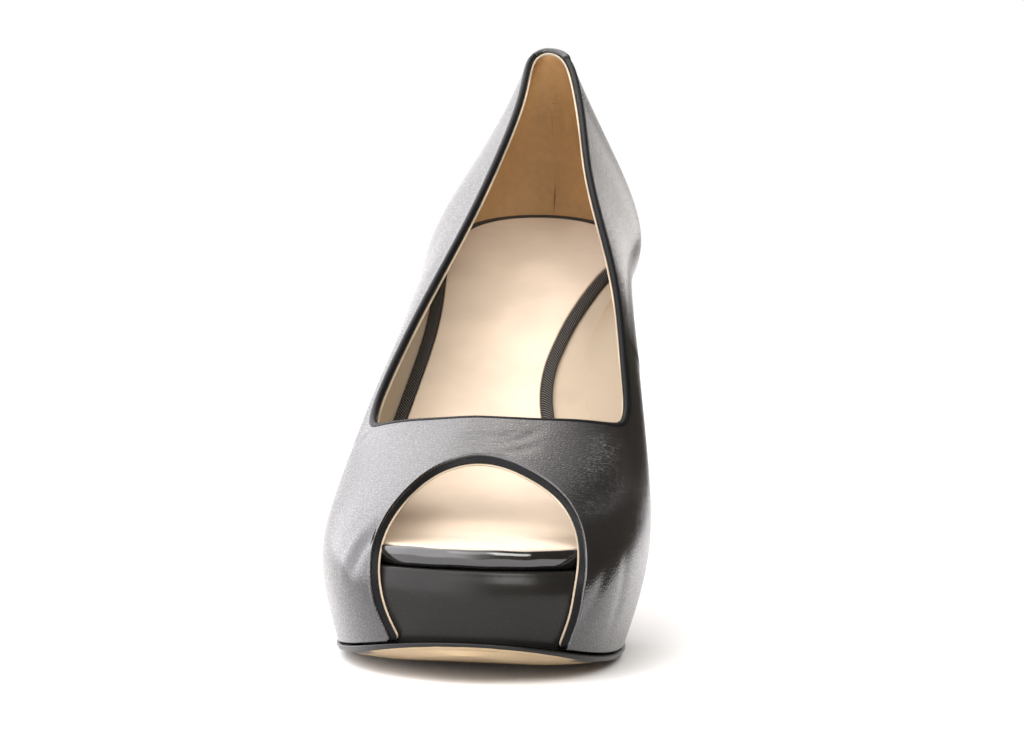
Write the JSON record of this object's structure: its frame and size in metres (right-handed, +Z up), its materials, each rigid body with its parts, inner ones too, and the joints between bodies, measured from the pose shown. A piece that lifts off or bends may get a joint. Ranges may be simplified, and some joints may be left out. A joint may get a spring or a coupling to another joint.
{
  "type": "pump shoe",
  "caption": "Right peep-toe pump with a low-cut hollow upper, concealed platform, arched sole and slim high heel, worn on the foot.",
  "frame": {"origin": "the point on the floor under the middle of the shoe's box", "axes": "+X to the inner side of the foot, +Y from the toe to the heel, +Z up"},
  "size_m": [0.0853, 0.2204, 0.1724],
  "materials": {
    "upper": "black leather with a fine pebble grain and a soft gloss",
    "heel_tab": "black leather, folded edge",
    "outsole": "tan smooth sole with a black inked edge",
    "platform": "smooth glossy black cover",
    "toe_roll": "smooth glossy black rolled edge",
    "footbed": "beige lining leather",
    "insole": "pale cream sock, matt",
    "insole_binding": "black ribbed woven tape",
    "heel": "black leather cover with a fine grain",
    "top_lift": "matt black rubber"
  },
  "bodies": {
    "root": {"upper": "upper", "heel_tab": "heel_tab", "outsole": "outsole", "platform": "platform", "toe_roll": "toe_roll", "footbed": "footbed", "insole": "insole", "insole_binding": "insole_binding", "heel": "heel", "top_lift": "top_lift"}
  },
  "joints": []
}
